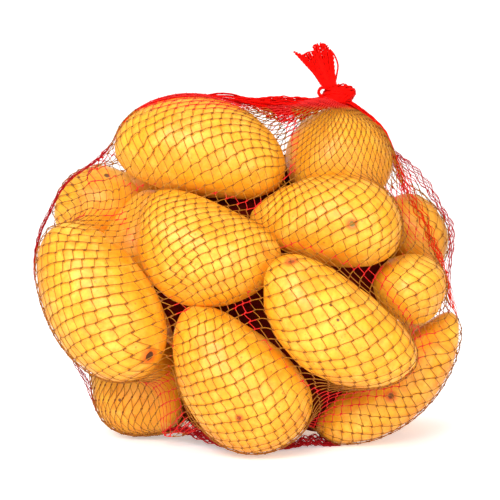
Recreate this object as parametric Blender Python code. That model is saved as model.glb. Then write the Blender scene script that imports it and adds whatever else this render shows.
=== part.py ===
# Net bag of potatoes: a knitted net tube gathered underneath, filled with long
# potatoes, and tied in a knot at the top with a short flared tail.
# Units are metres, +Z up, the bag stands on z = 0 and its front faces -Y.
import math

import bmesh
import bpy
import numpy as np
from mathutils import Matrix

MM = 0.001

# ---------------------------------------------------------------- driving dimensions (mm, degrees)
FACE_LEAN = 6.0           # the front of the heap leans back by this much
NET_STAND_OFF = 1.0       # the net's outer side lies this far outside a potato's skin
FLOOR_GAP = 1.2           # thickness of the net and its stitches under the lowest potatoes
FLOOR_FLAT = 2.0          # the slack net lower than this lies flat on the ground
FLOOR_SETTLE = 6.0        # and from there up to this height it sinks towards it
DRAW_IN = 0.12            # how far the net is drawn in between potatoes at each step
DRAW_UNDER = 0.35         # the same under the heap, where the gather pulls on it
DRAW_FAST = 1.0           # the same while the net is still loose
LOOSE_STEPS = 100
PRESS = 1.5               # neighbouring potatoes press this far into each other
SHOWN = 13                # the first potatoes of the list show from the front; where they
YIELD = (0.08, 1.0, 0.08)  # crowd each other they give way in depth and hardly sideways

KNOT_AT = (50.5, 27.0, 199.5)      # centre of the knot
KNOT_HALF = (10.5, 8.0, 7.2)       # half sizes of the knot
KNOT_TURN = 12.0                   # the knot's long way, up to the right
MIDDLE = (0.0, 8.0, 95.0)          # middle of the heap; the net is gathered where the line
POLE_ANGLE = 0.055                 # from the knot through it meets the ground

TAIL_FOOT = (47.0, 28.0, 204.0)    # the tail leaves the knot here
TAIL_TOP = (35.5, 32.0, 227.5)     # middle of its upper edge
TAIL_FOOT_HALF = 4.0               # half width at the knot
TAIL_TOP_HALF = 10.5               # half width at the upper edge
TAIL_HALF_THICK = 2.4
TAIL_RUFFLE = 1.8                  # depth of the folds across the tail

NET_COLUMNS = 84          # net lengthwise lines
NET_ROWS = 46             # net crosswise lines
WRAP_STEPS = 280

# Each potato: centre x, y, z; half length, half width, half thickness; turn in the face
# plane, pitch away from the face; taper, bend, bluntness; seed of its unevenness.
POTATOES = (
    (-27.2, 5, 168.2, 50.1, 28.0, 27.0, -12.2, 0, -0.03, -0.25, 2.08, 1),
    (51.6, 31, 161.5, 29.5, 29.7, 30.0, 33.7, 0, 0.00, -0.05, 2.30, 88),
    (42.4, -9, 129.5, 43.5, 25.5, 22.0, -4, -10, 0.25, -0.11, 2.05, 30),
    (-86.5, 26, 131.7, 27.3, 22.4, 19.0, 22.2, 0, 0.03, -0.17, 2.10, 86),
    (-84.3, -26, 86.5, 47.0, 29.0, 27.0, -58, -4, 0.11, 0.02, 2.05, 5),
    (-25.3, -17, 110.9, 43.0, 30.0, 24.0, -21, -6, -0.12, 0.33, 2.10, 51),
    (-8.3, -24, 48.3, 46.0, 30.0, 26.0, -49.5, 0, 0.25, 0.15, 2.05, 17),
    (46.2, -46, 77.0, 49.0, 27.0, 23.0, -37.5, 0, 0.02, 0.30, 2.05, 20),
    (91.6, -5, 91.5, 20.5, 21.0, 24.0, 55, 0, -0.13, -0.08, 2.05, 4),
    (95, 34, 118, 25.0, 20.0, 24.0, -65, 0, 0.00, 0.00, 2.10, 10),
    (-65.2, 20, 30.7, 26.8, 29.2, 22.0, 12.0, 0, 0.15, -0.02, 2.60, 58),
    (83.5, 2, 32.5, 50.5, 18.0, 22.0, 41, 4, -0.06, 0.50, 2.05, 5),
    (-62.1, 24, 117.9, 27.4, 24.0, 17.0, 52.9, 0, 0.00, 0.16, 2.56, 13),
    (-86, 38, 72, 33.5, 24.0, 23.0, -80, 0, 0.00, 0.00, 2.20, 21),
    (30, 38, 28, 40.5, 25.5, 26.0, 6, 0, 0.00, 0.00, 2.20, 22),
    (86, 54, 34, 34.0, 25.0, 25.0, 50, 0, 0.00, 0.00, 2.20, 23),
    (-40, 66, 27, 40.5, 26.0, 24.0, -4, 0, 0.00, 0.00, 2.20, 24),
    (50, 50, 83, 39.5, 26.0, 25.0, 12, 0, 0.00, 0.00, 2.20, 25),
    (6, 50, 130, 37.0, 26.0, 25.0, -4, 0, 0.00, 0.00, 2.20, 26),
    (-22, 44, 78, 36.0, 26.0, 24.0, 20, 0, 0.00, 0.00, 2.20, 28),
)

# Taut bundles that hold the net out between potatoes: two ends and a radius.
STRUTS = (
    ((-6, 10, 195.0), (17, 18, 194.6), 1.0),      # ridge from the top left potato
    ((17, 18, 194.6), (44, 26, 192.6), 1.0),      # and on to the knot
    ((83, 31, 163.5), (104.0, 31, 139.8), 1.0),   # from the top right potato out to the
    ((104.0, 31, 139.8), (113.6, 32, 126), 1.0),  # right flank
    ((-76.5, 6, 172.5), (-96, 10, 155), 1.0),     # left shoulder
)


# ---------------------------------------------------------------- potatoes
class Potato:
    """A blunt ellipsoid, tapered and bent along its length, with gentle unevenness."""

    def __init__(self, row):
        x, y, z, a, b, c, turn, pitch, self.taper, self.bend, self.blunt, seed = row
        self.c = np.array([x, y, z], float)
        self.h = np.array([a, b, c], float)
        lean, t, p = (math.radians(v) for v in (FACE_LEAN, turn, pitch))
        face = np.array([[1, 0, 0],
                         [0, math.sin(lean), -math.cos(lean)],
                         [0, math.cos(lean), math.sin(lean)]])
        about_view = np.array([[math.cos(t), -math.sin(t), 0], [math.sin(t), math.cos(t), 0], [0, 0, 1]])
        about_side = np.array([[math.cos(p), 0, math.sin(p)], [0, 1, 0], [-math.sin(p), 0, math.cos(p)]])
        self.R = face @ about_view @ about_side
        rng = np.random.RandomState(seed)
        k = rng.normal(size=(6, 3))
        k /= np.linalg.norm(k, axis=1)[:, None]
        self.k = k * rng.uniform(1.2, 3.2, 6)[:, None]
        self.ph = rng.uniform(0, 2 * math.pi, 6)
        self.am = rng.uniform(0.4, 1.0, 6) * 0.016

    def reach(self, s):
        """Distance of the skin along unit directions s, in half sizes."""
        lumps = 1 + (np.cos(s @ self.k.T + self.ph) * self.am).sum(-1)
        across = np.sqrt(s[:, 1] ** 2 + s[:, 2] ** 2)
        return lumps / (np.abs(s[:, 0]) ** self.blunt + across ** self.blunt) ** (1 / self.blunt)

    def skin(self, s):
        q = s * self.reach(s)[:, None]
        k = 1 + self.taper * q[:, 0]
        p = np.stack([self.h[0] * q[:, 0],
                      self.h[1] * (k * q[:, 1] + self.bend * (q[:, 0] ** 2 - 0.35)),
                      self.h[2] * k * q[:, 2]], 1)
        return p @ self.R.T + self.c

    def depth(self, p):
        """Signed distance outside the skin and the outward direction, near the skin."""
        q = (p - self.c) @ self.R / self.h
        k = np.maximum(1 + self.taper * q[:, 0], 0.3)
        q = np.stack([q[:, 0], (q[:, 1] - self.bend * (q[:, 0] ** 2 - 0.35)) / k, q[:, 2] / k], 1)
        r = np.linalg.norm(q, axis=1) + 1e-9
        s = q / r[:, None]
        t = self.reach(s)
        g = s / self.h
        size = np.linalg.norm(g, axis=1) + 1e-9
        return (r / t - 1) * t / size, (g / size[:, None]) @ self.R.T


def even_directions(n):
    i = np.arange(n) + 0.5
    z = 1 - 2 * i / n
    r = np.sqrt(1 - z * z)
    a = i * math.pi * (3 - math.sqrt(5))
    return np.stack([r * np.cos(a), r * np.sin(a), z], 1)


def settle(potatoes, steps=160):
    """Move potatoes apart until none presses into another by more than PRESS, nor into
    the ground."""
    s = even_directions(420)
    give = [np.array(YIELD) if k < SHOWN else np.ones(3) for k in range(len(potatoes))]
    for _ in range(steps):
        skins = [p.skin(s) for p in potatoes]
        move = [np.zeros(3) for _ in potatoes]
        for i, a in enumerate(potatoes):
            for j, b in enumerate(potatoes):
                if i == j or np.linalg.norm(a.c - b.c) > a.h.max() + b.h.max() + 6:
                    continue
                d, n = b.depth(skins[i])
                d = d + PRESS
                deep = d < 0
                if deep.any():
                    push = -(n[deep] * d[deep][:, None]).sum(0)
                    push *= -d.min() / (np.linalg.norm(push) + 1e-9)
                    move[i] += 0.25 * push
                    move[j] -= 0.25 * push
        for p, m, g in zip(potatoes, move, give):
            p.c = p.c + m * g
            low = p.skin(s)[:, 2].min()
            if low < FLOOR_GAP:
                p.c[2] += FLOOR_GAP - low
    return potatoes


class Strut:
    """A slender taut bundle of net between two points."""

    def __init__(self, a, b, r):
        self.a, self.b, self.r = np.array(a, float), np.array(b, float), r
        self.c = 0.5 * (self.a + self.b)
        self.h = np.array([0.5 * np.linalg.norm(self.b - self.a) + r] * 3)

    def depth(self, p):
        ab = self.b - self.a
        t = np.clip((p - self.a) @ ab / (ab @ ab), 0, 1)
        d = p - (self.a + t[:, None] * ab)
        n = np.linalg.norm(d, axis=1) + 1e-9
        return n - self.r, d / n[:, None]


# ---------------------------------------------------------------- the net drawn tight round them
def wrap_net(holders):
    """A closed lattice from the gather underneath to the neck at the knot, drawn tight.

    Its points lie on rays from the middle of the heap; tension pulls them in along the
    rays, and the holders (potatoes and struts) and the ground hold them out."""
    middle, neck = np.array(MIDDLE), np.array(KNOT_AT)
    axis = (neck - middle) / np.linalg.norm(neck - middle)
    e1 = np.cross([0, 1, 0], axis)
    e1 /= np.linalg.norm(e1)
    e2 = np.cross(axis, e1)
    th = np.linspace(POLE_ANGLE, math.pi - POLE_ANGLE, NET_ROWS + 1)[:, None, None]
    ph = (np.arange(NET_COLUMNS) * 2 * math.pi / NET_COLUMNS)[None, :, None]
    ray = -np.cos(th) * axis + np.sin(th) * (np.cos(ph) * e1 + np.sin(ph) * e2)
    out = np.full(ray.shape[:2], 150.0)
    out[-1] = np.linalg.norm(neck - middle) - 3.0
    flat_ray = ray.reshape(-1, 3)
    down = ray[..., 2] < -0.02
    to_ground = np.where(down, -middle[2] / np.where(down, ray[..., 2], -1), 1e6)
    draw = DRAW_IN + (DRAW_UNDER - DRAW_IN) * np.clip((-ray[..., 2] - 0.55) / 0.25, 0, 1)
    for step in range(WRAP_STEPS):
        out = np.minimum(out, to_ground)
        x = middle + out[..., None] * ray
        mean = 0.5 * (np.roll(x, 1, axis=1) + np.roll(x, -1, axis=1))
        mean[1:-1] = 0.5 * (mean[1:-1] + 0.5 * (x[:-2] + x[2:]))
        pull = ((mean - x) * ray).sum(-1)
        out[1:-1] += (0.8 * pull - (DRAW_FAST if step < LOOSE_STEPS else draw))[1:-1]
        for p in holders:
            x = (middle + out[..., None] * ray).reshape(-1, 3)
            near = np.linalg.norm(x - p.c, axis=1) < p.h.max() + NET_STAND_OFF + 6
            if near.any():
                d, n = p.depth(x[near])
                lift = np.maximum(NET_STAND_OFF - d, 0) / np.maximum((n * flat_ray[near]).sum(1), 0.4)
                flat_out = out.reshape(-1)
                flat_out[near] += lift
                out = flat_out.reshape(out.shape)
        out[-1] = np.linalg.norm(neck - middle) - 3.0
    x = middle + np.minimum(out, to_ground)[..., None] * ray
    # next to the ground the slack net lies down on it
    t = np.clip((x[..., 2] - FLOOR_FLAT) / (FLOOR_SETTLE - FLOOR_FLAT), 0, 1)
    x[..., 2] *= t * t * (3 - 2 * t)
    return x


def lattice_mesh(name, x):
    """Closed mesh from a lattice of rings, its two end rings capped."""
    bm = bmesh.new()
    rows, cols = x.shape[:2]
    v = [[bm.verts.new(tuple(x[r, c] * MM)) for c in range(cols)] for r in range(rows)]
    for r in range(rows - 1):
        for c in range(cols):
            d = (c + 1) % cols
            quad = (v[r][c], v[r][d], v[r + 1][d], v[r + 1][c])
            # split each cell along its shorter diagonal
            if (quad[0].co - quad[2].co).length < (quad[1].co - quad[3].co).length:
                bm.faces.new((quad[0], quad[1], quad[2]))
                bm.faces.new((quad[0], quad[2], quad[3]))
            else:
                bm.faces.new((quad[0], quad[1], quad[3]))
                bm.faces.new((quad[1], quad[2], quad[3]))
    bm.faces.new(v[0])
    bm.faces.new(v[-1])
    bmesh.ops.recalc_face_normals(bm, faces=bm.faces)
    mesh = bpy.data.meshes.new(name)
    bm.to_mesh(mesh)
    bm.free()
    return mesh


def knot_mesh():
    """A pulled overhand knot: a squat body with a cord-like ridge wound twice round it."""
    rings, around = 14, 26
    bm = bmesh.new()
    t = math.radians(KNOT_TURN)
    pole = [bm.verts.new((0, 0, -1)), bm.verts.new((0, 0, 1))]
    loops = []
    for i in range(1, rings):
        th = math.pi * i / rings
        loop = []
        for j in range(around):
            ph = 2 * math.pi * j / around
            ridge = 1 + 0.11 * math.sin(2 * ph + 3.4 * th) * math.sin(th)
            loop.append(bm.verts.new((ridge * math.sin(th) * math.cos(ph), ridge * math.sin(th) * math.sin(ph),
                                      -math.cos(th))))
        loops.append(loop)
    for a, b in zip(loops[:-1], loops[1:]):
        for j in range(around):
            k = (j + 1) % around
            bm.faces.new((a[j], a[k], b[k], b[j]))
    for j in range(around):
        k = (j + 1) % around
        bm.faces.new((pole[0], loops[0][k], loops[0][j]))
        bm.faces.new((pole[1], loops[-1][j], loops[-1][k]))
    for q in bm.verts:
        x, y, z = q.co.x * KNOT_HALF[0], q.co.y * KNOT_HALF[1], q.co.z * KNOT_HALF[2]
        q.co = ((KNOT_AT[0] + x * math.cos(t) - z * math.sin(t)) * MM, (KNOT_AT[1] + y) * MM,
                (KNOT_AT[2] + x * math.sin(t) + z * math.cos(t)) * MM)
    bmesh.ops.recalc_face_normals(bm, faces=bm.faces)
    mesh = bpy.data.meshes.new("knot")
    bm.to_mesh(mesh)
    bm.free()
    return mesh


def tail_mesh():
    """The cut end of the net above the knot: a ruffled fan, narrow at the knot."""
    across, up = 14, 9
    foot, top = np.array(TAIL_FOOT), np.array(TAIL_TOP)
    rise = top - foot
    side = np.array([rise[2], 0, -rise[0]])
    side /= np.linalg.norm(side)
    deep = np.array([0, 1.0, 0])
    bm = bmesh.new()
    layers = []
    for sign in (-1, 1):
        grid = []
        for i in range(up + 1):
            t = i / up
            half = TAIL_FOOT_HALF + (TAIL_TOP_HALF - TAIL_FOOT_HALF) * t ** 1.4
            line = []
            for j in range(across + 1):
                s = 2 * j / across - 1
                edge = math.sqrt(max(1 - s * s, 0)) ** 0.5
                lobes = 1 + t * (0.10 * math.cos(3.2 * s + 0.3) - 0.06)
                wave = TAIL_RUFFLE * (0.25 + 0.75 * t) * math.sin(5.2 * s + 0.8)
                thick = TAIL_HALF_THICK * (1.5 - 0.5 * t) * (0.25 + 0.75 * edge)
                line.append(bm.verts.new(tuple((foot + rise * t * lobes + side * half * s +
                                                deep * (wave + sign * thick)) * MM)))
            grid.append(line)
        layers.append(grid)
    f, b = layers
    for i in range(up):
        for j in range(across):
            bm.faces.new((f[i][j], f[i][j + 1], f[i + 1][j + 1], f[i + 1][j]))
            bm.faces.new((b[i][j], b[i + 1][j], b[i + 1][j + 1], b[i][j + 1]))
    for j in range(across):
        bm.faces.new((f[0][j], b[0][j], b[0][j + 1], f[0][j + 1]))
        bm.faces.new((f[up][j], f[up][j + 1], b[up][j + 1], b[up][j]))
    for i in range(up):
        bm.faces.new((f[i][0], f[i + 1][0], b[i + 1][0], b[i][0]))
        bm.faces.new((f[i][across], b[i][across], b[i + 1][across], f[i + 1][across]))
    bmesh.ops.triangulate(bm, faces=bm.faces)
    bmesh.ops.recalc_face_normals(bm, faces=bm.faces)
    mesh = bpy.data.meshes.new("tail")
    bm.to_mesh(mesh)
    bm.free()
    return mesh


def add(name, mesh):
    ob = bpy.data.objects.new(name, mesh)
    bpy.context.scene.collection.objects.link(ob)
    return ob


def main():
    for ob in list(bpy.data.objects):
        bpy.data.objects.remove(ob, do_unlink=True)
    potatoes = settle([Potato(row) for row in POTATOES])
    x = wrap_net(potatoes + [Strut(*row) for row in STRUTS])
    # the whole is moved so that its box is centred on the origin
    shift = -0.5 * (x.min(axis=(0, 1)) + x.max(axis=(0, 1))) * (1, 1, 0)
    bag = add("net_bag", lattice_mesh("net_bag", x + shift))
    for ob in (add("knot_form", knot_mesh()), add("tail_form", tail_mesh())):
        ob.data.transform(Matrix.Translation(tuple(shift * MM)))
        join = bag.modifiers.new(ob.name, 'BOOLEAN')
        join.operation = 'UNION'
        join.solver = 'EXACT'
        join.object = ob
        ob.hide_render = True
        ob.display_type = 'WIRE'
    bag.data.shade_smooth()
    net = bpy.data.materials.new("potato_in_red_net")
    net.use_nodes = True
    skin = net.node_tree.nodes["Principled BSDF"]
    skin.inputs["Base Color"].default_value = (0.83, 0.42, 0.05, 1)
    skin.inputs["Roughness"].default_value = 0.5
    skin.inputs["Metallic"].default_value = 0.0
    bag.data.materials.append(net)


main()
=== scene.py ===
import math

import bpy
import bmesh
import numpy as np
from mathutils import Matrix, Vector


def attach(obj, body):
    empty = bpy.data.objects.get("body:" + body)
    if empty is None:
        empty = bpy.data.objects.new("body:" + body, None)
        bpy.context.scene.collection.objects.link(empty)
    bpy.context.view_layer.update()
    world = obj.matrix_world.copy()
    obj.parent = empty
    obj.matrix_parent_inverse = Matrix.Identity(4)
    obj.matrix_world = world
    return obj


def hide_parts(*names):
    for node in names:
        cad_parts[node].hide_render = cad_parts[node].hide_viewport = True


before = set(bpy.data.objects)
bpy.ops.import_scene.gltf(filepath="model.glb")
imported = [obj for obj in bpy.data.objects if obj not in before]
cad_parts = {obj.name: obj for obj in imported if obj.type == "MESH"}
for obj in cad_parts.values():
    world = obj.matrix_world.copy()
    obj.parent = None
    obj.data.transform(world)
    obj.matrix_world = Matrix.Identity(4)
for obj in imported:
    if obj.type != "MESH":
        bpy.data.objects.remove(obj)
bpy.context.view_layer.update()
NODE = "net_bag"
MM = 0.001

# ---------------------------------------------------------------- the heap, as in the CAD (mm, degrees)
FACE_LEAN = 6.0
NET_STAND_OFF = 1.0
FLOOR_GAP = 1.2
PRESS = 1.5
SHOWN = 13
YIELD = (0.08, 1.0, 0.08)
DRAW_IN = 0.12
DRAW_UNDER = 0.35
DRAW_FAST = 1.0
LOOSE_STEPS = 100
KNOT_AT = (50.5, 27.0, 199.5)
MIDDLE = (0.0, 8.0, 95.0)
POLE_ANGLE = 0.055
NET_COLUMNS = 84
NET_ROWS = 46
WRAP_STEPS = 280
POTATOES = (
    (-27.2, 5, 168.2, 50.1, 28.0, 27.0, -12.2, 0, -0.03, -0.25, 2.08, 1),
    (51.6, 31, 161.5, 29.5, 29.7, 30.0, 33.7, 0, 0.00, -0.05, 2.30, 88),
    (42.4, -9, 129.5, 43.5, 25.5, 22.0, -4, -10, 0.25, -0.11, 2.05, 30),
    (-86.5, 26, 131.7, 27.3, 22.4, 19.0, 22.2, 0, 0.03, -0.17, 2.10, 86),
    (-84.3, -26, 86.5, 47.0, 29.0, 27.0, -58, -4, 0.11, 0.02, 2.05, 5),
    (-25.3, -17, 110.9, 43.0, 30.0, 24.0, -21, -6, -0.12, 0.33, 2.10, 51),
    (-8.3, -24, 48.3, 46.0, 30.0, 26.0, -49.5, 0, 0.25, 0.15, 2.05, 17),
    (46.2, -46, 77.0, 49.0, 27.0, 23.0, -37.5, 0, 0.02, 0.30, 2.05, 20),
    (91.6, -5, 91.5, 20.5, 21.0, 24.0, 55, 0, -0.13, -0.08, 2.05, 4),
    (95, 34, 118, 25.0, 20.0, 24.0, -65, 0, 0.00, 0.00, 2.10, 10),
    (-65.2, 20, 30.7, 26.8, 29.2, 22.0, 12.0, 0, 0.15, -0.02, 2.60, 58),
    (83.5, 2, 32.5, 50.5, 18.0, 22.0, 41, 4, -0.06, 0.50, 2.05, 5),
    (-62.1, 24, 117.9, 27.4, 24.0, 17.0, 52.9, 0, 0.00, 0.16, 2.56, 13),
    (-86, 38, 72, 33.5, 24.0, 23.0, -80, 0, 0.00, 0.00, 2.20, 21),
    (30, 38, 28, 40.5, 25.5, 26.0, 6, 0, 0.00, 0.00, 2.20, 22),
    (86, 54, 34, 34.0, 25.0, 25.0, 50, 0, 0.00, 0.00, 2.20, 23),
    (-40, 66, 27, 40.5, 26.0, 24.0, -4, 0, 0.00, 0.00, 2.20, 24),
    (50, 50, 83, 39.5, 26.0, 25.0, 12, 0, 0.00, 0.00, 2.20, 25),
    (6, 50, 130, 37.0, 26.0, 25.0, -4, 0, 0.00, 0.00, 2.20, 26),
    (-22, 44, 78, 36.0, 26.0, 24.0, 20, 0, 0.00, 0.00, 2.20, 28),
)

# Taut bundles that hold the net out between potatoes: two ends and a radius.
STRUTS = (
    ((-6, 10, 195.0), (17, 18, 194.6), 1.0),      # ridge from the top left potato
    ((17, 18, 194.6), (44, 26, 192.6), 1.0),      # and on to the knot
    ((83, 31, 163.5), (104.0, 31, 139.8), 1.0),   # from the top right potato out to the
    ((104.0, 31, 139.8), (113.6, 32, 126), 1.0),  # right flank
    ((-76.5, 6, 172.5), (-96, 10, 155), 1.0),     # left shoulder
)


class Potato:
    def __init__(self, row):
        x, y, z, a, b, c, turn, pitch, self.taper, self.bend, self.blunt, seed = row
        self.c = np.array([x, y, z], float)
        self.h = np.array([a, b, c], float)
        self.seed = seed
        lean, t, p = (math.radians(v) for v in (FACE_LEAN, turn, pitch))
        face = np.array([[1, 0, 0],
                         [0, math.sin(lean), -math.cos(lean)],
                         [0, math.cos(lean), math.sin(lean)]])
        about_view = np.array([[math.cos(t), -math.sin(t), 0], [math.sin(t), math.cos(t), 0], [0, 0, 1]])
        about_side = np.array([[math.cos(p), 0, math.sin(p)], [0, 1, 0], [-math.sin(p), 0, math.cos(p)]])
        self.R = face @ about_view @ about_side
        rng = np.random.RandomState(seed)
        k = rng.normal(size=(6, 3))
        k /= np.linalg.norm(k, axis=1)[:, None]
        self.k = k * rng.uniform(1.2, 3.2, 6)[:, None]
        self.ph = rng.uniform(0, 2 * math.pi, 6)
        self.am = rng.uniform(0.4, 1.0, 6) * 0.016

    def reach(self, s):
        lumps = 1 + (np.cos(s @ self.k.T + self.ph) * self.am).sum(-1)
        across = np.sqrt(s[:, 1] ** 2 + s[:, 2] ** 2)
        return lumps / (np.abs(s[:, 0]) ** self.blunt + across ** self.blunt) ** (1 / self.blunt)

    def skin(self, s):
        q = s * self.reach(s)[:, None]
        k = 1 + self.taper * q[:, 0]
        p = np.stack([self.h[0] * q[:, 0],
                      self.h[1] * (k * q[:, 1] + self.bend * (q[:, 0] ** 2 - 0.35)),
                      self.h[2] * k * q[:, 2]], 1)
        return p @ self.R.T + self.c

    def depth(self, p):
        q = (p - self.c) @ self.R / self.h
        k = np.maximum(1 + self.taper * q[:, 0], 0.3)
        q = np.stack([q[:, 0], (q[:, 1] - self.bend * (q[:, 0] ** 2 - 0.35)) / k, q[:, 2] / k], 1)
        r = np.linalg.norm(q, axis=1) + 1e-9
        s = q / r[:, None]
        t = self.reach(s)
        g = s / self.h
        size = np.linalg.norm(g, axis=1) + 1e-9
        return (r / t - 1) * t / size, (g / size[:, None]) @ self.R.T


def even_directions(n):
    i = np.arange(n) + 0.5
    z = 1 - 2 * i / n
    r = np.sqrt(1 - z * z)
    a = i * math.pi * (3 - math.sqrt(5))
    return np.stack([r * np.cos(a), r * np.sin(a), z], 1)


def settle(potatoes, steps=160):
    s = even_directions(420)
    give = [np.array(YIELD) if k < SHOWN else np.ones(3) for k in range(len(potatoes))]
    for _ in range(steps):
        skins = [p.skin(s) for p in potatoes]
        move = [np.zeros(3) for _ in potatoes]
        for i, a in enumerate(potatoes):
            for j, b in enumerate(potatoes):
                if i == j or np.linalg.norm(a.c - b.c) > a.h.max() + b.h.max() + 6:
                    continue
                d, n = b.depth(skins[i])
                d = d + PRESS
                deep = d < 0
                if deep.any():
                    push = -(n[deep] * d[deep][:, None]).sum(0)
                    push *= -d.min() / (np.linalg.norm(push) + 1e-9)
                    move[i] += 0.25 * push
                    move[j] -= 0.25 * push
        for p, m, g in zip(potatoes, move, give):
            p.c = p.c + m * g
            low = p.skin(s)[:, 2].min()
            if low < FLOOR_GAP:
                p.c[2] += FLOOR_GAP - low
    return potatoes


class Strut:
    """Something slender that holds the net out: a taut bundle of net between two points."""

    def __init__(self, a, b, r):
        self.a, self.b, self.r = np.array(a, float), np.array(b, float), r
        self.c = 0.5 * (self.a + self.b)
        self.h = np.array([0.5 * np.linalg.norm(self.b - self.a) + r] * 3)

    def depth(self, p):
        ab = self.b - self.a
        t = np.clip((p - self.a) @ ab / (ab @ ab), 0, 1)
        d = p - (self.a + t[:, None] * ab)
        n = np.linalg.norm(d, axis=1) + 1e-9
        return n - self.r, d / n[:, None]


def wrap_net(holders, front=DRAW_IN, raised=0.0):
    middle, neck = np.array(MIDDLE), np.array(KNOT_AT)
    axis = (neck - middle) / np.linalg.norm(neck - middle)
    e1 = np.cross([0, 1, 0], axis)
    e1 /= np.linalg.norm(e1)
    e2 = np.cross(axis, e1)
    th = np.linspace(POLE_ANGLE, math.pi - POLE_ANGLE, NET_ROWS + 1)[:, None, None]
    ph = (np.arange(NET_COLUMNS) * 2 * math.pi / NET_COLUMNS)[None, :, None]
    ray = -np.cos(th) * axis + np.sin(th) * (np.cos(ph) * e1 + np.sin(ph) * e2)
    out = np.full(ray.shape[:2], 150.0)
    out[-1] = np.linalg.norm(neck - middle) - 3.0
    flat_ray = ray.reshape(-1, 3)
    down = ray[..., 2] < -0.02
    to_ground = np.where(down, -middle[2] / np.where(down, ray[..., 2], -1), 1e6)
    draw = DRAW_IN + (DRAW_UNDER - DRAW_IN) * np.clip((-ray[..., 2] - 0.55) / 0.25, 0, 1)
    draw = np.maximum(draw, DRAW_IN + (front - DRAW_IN) * np.clip((0.02 - ray[..., 1]) / 0.30, 0, 1))
    to_ground[0] -= raised
    for step in range(WRAP_STEPS):
        out = np.minimum(out, to_ground)
        x = middle + out[..., None] * ray
        mean = 0.5 * (np.roll(x, 1, axis=1) + np.roll(x, -1, axis=1))
        mean[1:-1] = 0.5 * (mean[1:-1] + 0.5 * (x[:-2] + x[2:]))
        pull = ((mean - x) * ray).sum(-1)
        out[1:-1] += (0.8 * pull - (DRAW_FAST if step < LOOSE_STEPS else draw))[1:-1]
        for p in holders:
            x = (middle + out[..., None] * ray).reshape(-1, 3)
            near = np.linalg.norm(x - p.c, axis=1) < p.h.max() + NET_STAND_OFF + 6
            if near.any():
                d, n = p.depth(x[near])
                lift = np.maximum(NET_STAND_OFF - d, 0) / np.maximum((n * flat_ray[near]).sum(1), 0.4)
                flat_out = out.reshape(-1)
                flat_out[near] += lift
                out = flat_out.reshape(out.shape)
        out[-1] = np.linalg.norm(neck - middle) - 3.0
    return middle + np.minimum(out, to_ground)[..., None] * ray


potatoes = settle([Potato(row) for row in POTATOES])
holders = potatoes + [Strut(*row) for row in STRUTS]
film = wrap_net(holders)
SHIFT = -0.5 * (film.min(axis=(0, 1)) + film.max(axis=(0, 1))) * (1, 1, 0)
# the net that shows sinks further into the front's hollows, and is drawn straight over the left shoulder
film = wrap_net(holders + [Strut((-72.7, 8, 170.2), (-86.1, 14, 156.0), 6.0)], 0.45, 8.0)

# ---------------------------------------------------------------- camera (same heap frame, then shifted)
ELEV = math.radians(6.0)
AIM = np.array([0.0, 0.0, 112.3])
LOOK = np.array([0.0, math.cos(ELEV), -math.sin(ELEV)])
UP = np.array([0.0, math.sin(ELEV), math.cos(ELEV)])
FAR = 1000.0
PIXEL = 0.57


def at_pixel(px, py, y):
    """The point at depth y (mm) seen at pixel px, py of the photograph's frame."""
    d = (px - 250) * PIXEL * np.array([1.0, 0, 0]) - (py - 250) * PIXEL * UP + FAR * LOOK
    eye = AIM - FAR * LOOK
    t = (y - eye[1]) / d[1]
    return eye + t * d


cam_data = bpy.data.cameras.new("camera")
cam = bpy.data.objects.new("camera", cam_data)
bpy.context.scene.collection.objects.link(cam)
cam_data.sensor_width = 36.0
cam_data.sensor_fit = 'HORIZONTAL'
cam_data.lens = 36.0 * (FAR / PIXEL) / 500.0
cam_data.clip_start = 0.05
cam_data.clip_end = 20.0
cam.location = Vector((AIM - FAR * LOOK + SHIFT) * MM)
cam.rotation_euler = (math.pi / 2 - ELEV, 0.0, 0.0)
bpy.context.scene.camera = cam

# ---------------------------------------------------------------- helpers
made = []


def finish_piece(ob):
    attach(ob, "root")
    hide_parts(NODE)
    made.append(ob)
    return ob


def new_mesh(name, verts, faces, mat, smooth=True):
    """verts in mm in the heap frame."""
    mesh = bpy.data.meshes.new(name)
    mesh.from_pydata(((np.asarray(verts) + SHIFT) * MM).tolist(), [], faces)
    mesh.update()
    if smooth:
        mesh.shade_smooth()
    mesh.materials.append(mat)
    ob = bpy.data.objects.new(name, mesh)
    bpy.context.scene.collection.objects.link(ob)
    return ob


def tubes(P, R, N, sides):
    """Verts and quads of n tubes through points P (n, m, 3), radii R (n, m), side normals N (n, m, 3)."""
    n, m = P.shape[:2]
    T = np.gradient(P, axis=1)
    T /= np.linalg.norm(T, axis=2, keepdims=True) + 1e-9
    S = np.cross(T, N)
    S /= np.linalg.norm(S, axis=2, keepdims=True) + 1e-9
    Q = np.cross(S, T)
    a = np.arange(sides) * 2 * math.pi / sides
    ring = P[:, :, None, :] + R[:, :, None, None] * (np.cos(a)[None, None, :, None] * Q[:, :, None, :] +
                                                     np.sin(a)[None, None, :, None] * S[:, :, None, :])
    verts = ring.reshape(-1, 3)
    base = (np.arange(n)[:, None, None] * m + np.arange(m - 1)[None, :, None]) * sides
    k = np.arange(sides)[None, None, :]
    k2 = (k + 1) % sides
    quads = np.stack([base + k, base + sides + k, base + sides + k2, base + k2], -1).reshape(-1, 4)
    caps0 = (np.arange(n)[:, None] * m * sides + np.arange(sides)[None, :])
    caps1 = ((np.arange(n)[:, None] * m + m - 1) * sides + np.arange(sides)[None, ::-1])
    return verts, quads, np.concatenate([caps0, caps1])


def tube_piece(name, P, R, N, sides, mat, attributes=None):
    verts, quads, caps = tubes(P, R, N, sides)
    ob = new_mesh(name, verts, quads.tolist() + caps.tolist(), mat)
    for key, values in (attributes or {}).items():
        att = ob.data.attributes.new(key, 'FLOAT', 'POINT')
        att.data.foreach_set("value", np.repeat(values.reshape(-1), sides).astype(np.float32))
    return ob


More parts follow.
